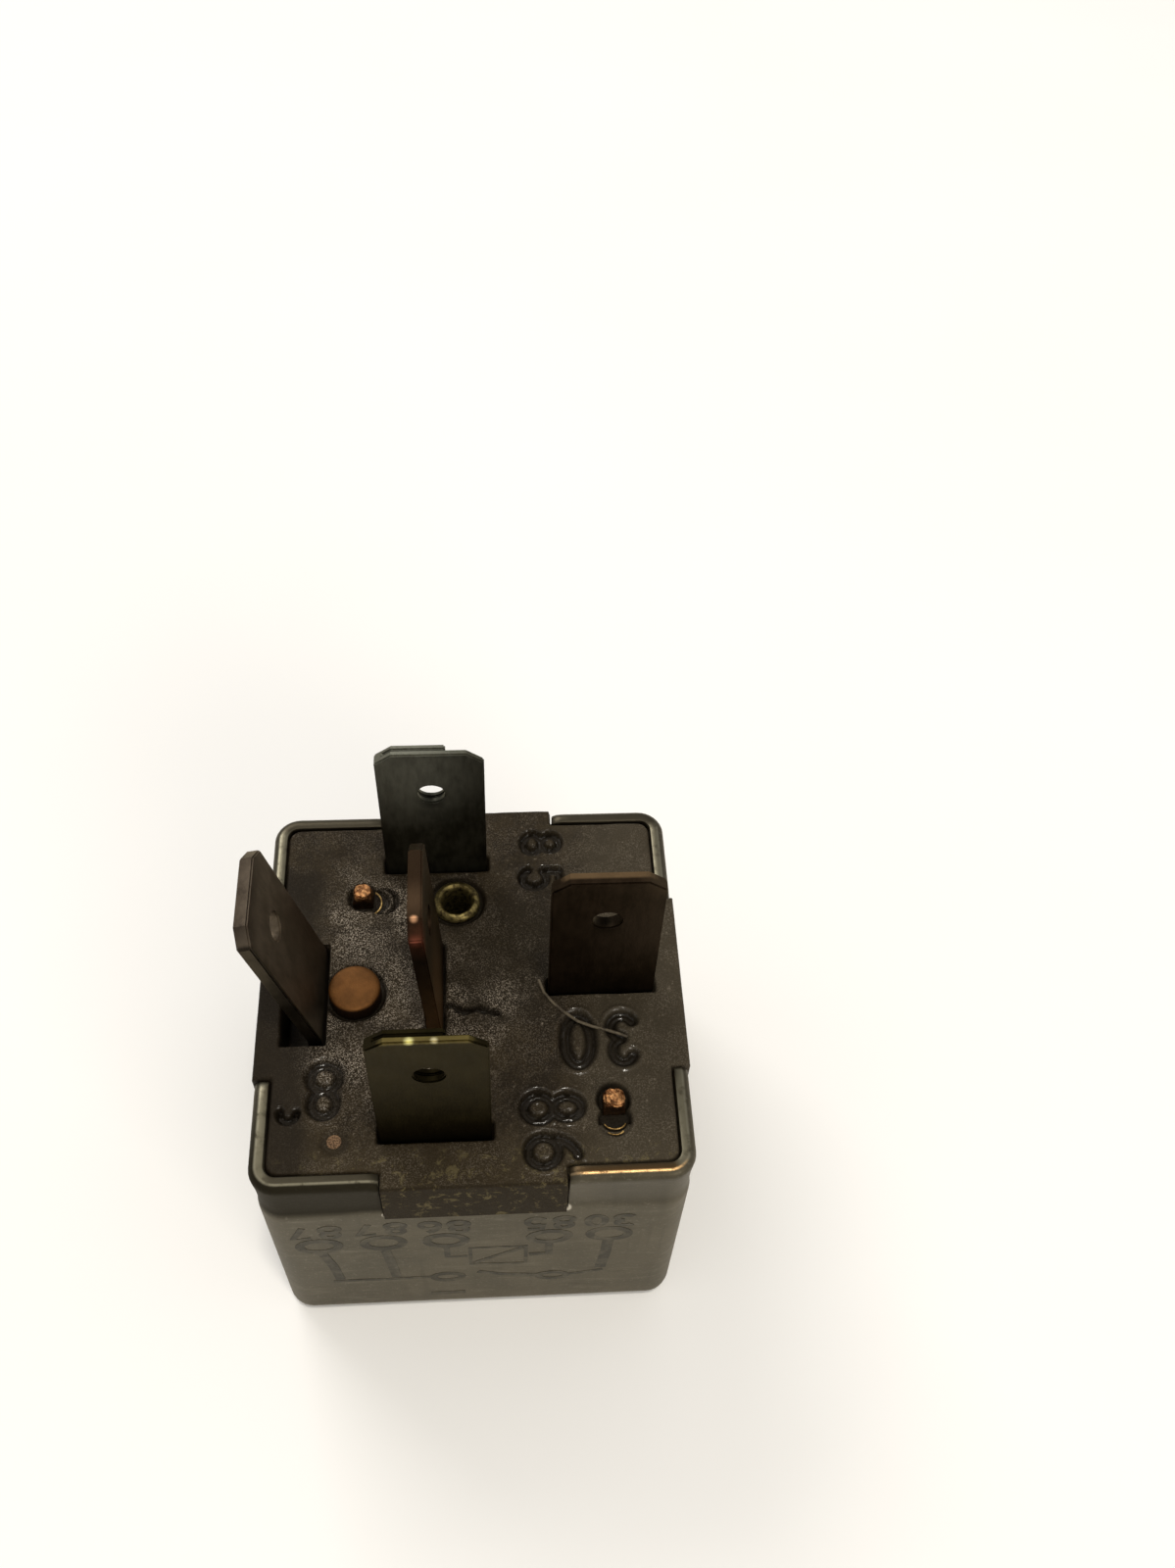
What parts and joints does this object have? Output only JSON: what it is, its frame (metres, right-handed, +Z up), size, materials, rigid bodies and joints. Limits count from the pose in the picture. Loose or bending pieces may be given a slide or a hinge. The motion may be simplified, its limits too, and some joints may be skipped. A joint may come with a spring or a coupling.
{
  "type": "battery switch relay",
  "caption": "Plug-in metal-can relay used as a battery switch: its coil pulls a hinged armature that joins the flat blade terminals standing on a moulded base.",
  "frame": {"origin": "centre of the can's closed end, on the surface that the relay stands on", "axes": "+Z up towards the blade terminals, +X towards terminal 30, -Y towards the can face with the wiring diagram"},
  "size_m": [0.0252, 0.0252, 0.0329],
  "materials": {
    "can_sheet": "dull tinned steel, brushed and handled",
    "phenolic": "moulded phenolic, semi-matt, speckled",
    "blade_bronze": "tarnished plating over copper alloy",
    "blade_grey": "dark tarnished plating",
    "blade_olive": "tarnished brass",
    "blade_brown_grey": "tarnished plating over copper alloy",
    "blade_brown": "tarnished plating over copper alloy",
    "eyelet_brass": "rolled brass",
    "rivet_copper": "bare copper",
    "staked_copper": "sheared copper alloy",
    "strip_copper": "half-hard copper alloy strip",
    "contact_silver": "silver alloy",
    "soft_iron": "zinc-plated soft iron",
    "bobbin_nylon": "moulded nylon",
    "coil_wire": "enamelled copper wire",
    "coil_tape": "polyester tape",
    "spring_bronze": "phosphor bronze leaf",
    "rivet_steel": "plated steel rivets"
  },
  "bodies": {
    "housing": {"can": "can_sheet", "base_plate": "phenolic", "terminal_30": "blade_bronze", "terminal_85": "blade_grey", "terminal_86": "blade_olive", "terminal_87_outer": "blade_brown_grey", "terminal_87_centre": "blade_brown", "eyelet": "eyelet_brass", "contact_rivet": "rivet_copper", "stake_30": "staked_copper", "stake_85": "staked_copper", "stake_86": "staked_copper", "strap_30": "strip_copper", "strap_85": "strip_copper", "strap_86": "strip_copper", "contact_bracket": "strip_copper", "fixed_contact": "contact_silver", "yoke": "soft_iron", "core": "soft_iron", "bobbin": "bobbin_nylon", "coil_winding": "coil_wire", "coil_tape": "coil_tape", "coil_leads": "coil_wire", "hinge_spring": "spring_bronze", "hinge_spring_rivets": "rivet_steel", "backstop": "soft_iron"},
    "armature": {"armature": "soft_iron", "contact_arm": "spring_bronze", "armature_rivets": "rivet_steel", "moving_contact": "contact_silver"}
  },
  "joints": [
    {"name": "armature_hinge", "type": "hinge", "parent": "housing", "child": "armature", "pos_m": [0.0102, -0.0004, 0.0042], "axis": [0, 1, 0], "range_deg": [0, 3.15], "stiffness_Nm_per_rad": 0.01, "springref_deg": -14.32, "deforming": ["hinge_spring"]}
  ]
}
